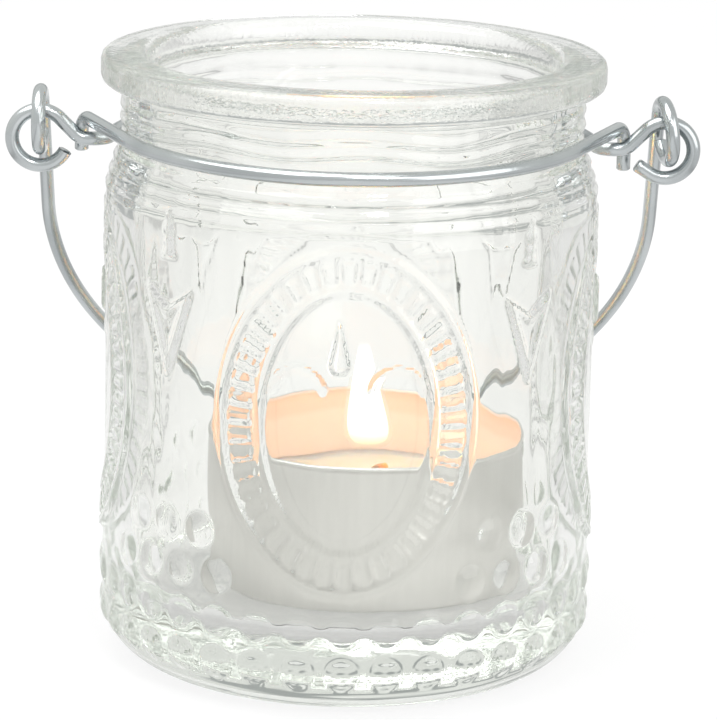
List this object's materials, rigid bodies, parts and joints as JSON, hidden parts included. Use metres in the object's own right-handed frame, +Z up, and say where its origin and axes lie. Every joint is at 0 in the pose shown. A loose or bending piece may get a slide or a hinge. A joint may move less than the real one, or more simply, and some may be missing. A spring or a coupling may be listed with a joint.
{
  "type": "glass jar lantern",
  "caption": "Pressed-glass jar lantern with a wire-tied neck, linked ears, a swinging wire bail handle and a lit tealight standing on its thick floor.",
  "frame": {"origin": "centre of the jar's flat base", "axes": "+Z up the jar's axis, +X through the right ear, -Y the front of the jar; the bail rests behind it on the +Y side"},
  "size_m": [0.0842, 0.0629, 0.0747],
  "materials": {
    "clear_glass": "clear pressed glass, fire polished",
    "zinc_wire": "bright zinc-plated drawn wire",
    "cup_aluminium": "satin drawn aluminium",
    "candle_wax": "white paraffin wax",
    "wick_cotton": "braided cotton, charred at the tip",
    "tin_plate": "plain tinplate",
    "candle_flame": "burning gas, for the look only"
  },
  "bodies": {
    "jar": {"glass_jar": "clear_glass", "neck_wire_back": "zinc_wire", "neck_wire_front": "zinc_wire"},
    "bail": {"bail_handle": "zinc_wire"},
    "tealight": {"tealight_cup": "cup_aluminium", "tealight_wax": "candle_wax", "tealight_wick": "wick_cotton", "wick_sustainer": "tin_plate"}
  },
  "joints": [
    {"name": "bail_swing", "type": "hinge", "parent": "jar", "child": "bail", "pos_m": [0, 0.00044, 0.06568], "axis": [1, 0, 0], "range_deg": [0, 240]},
    {"name": "tealight_lift", "type": "slide", "parent": "jar", "child": "tealight", "axis": [0, 0, 1], "range_m": [0, 0.075]}
  ]
}
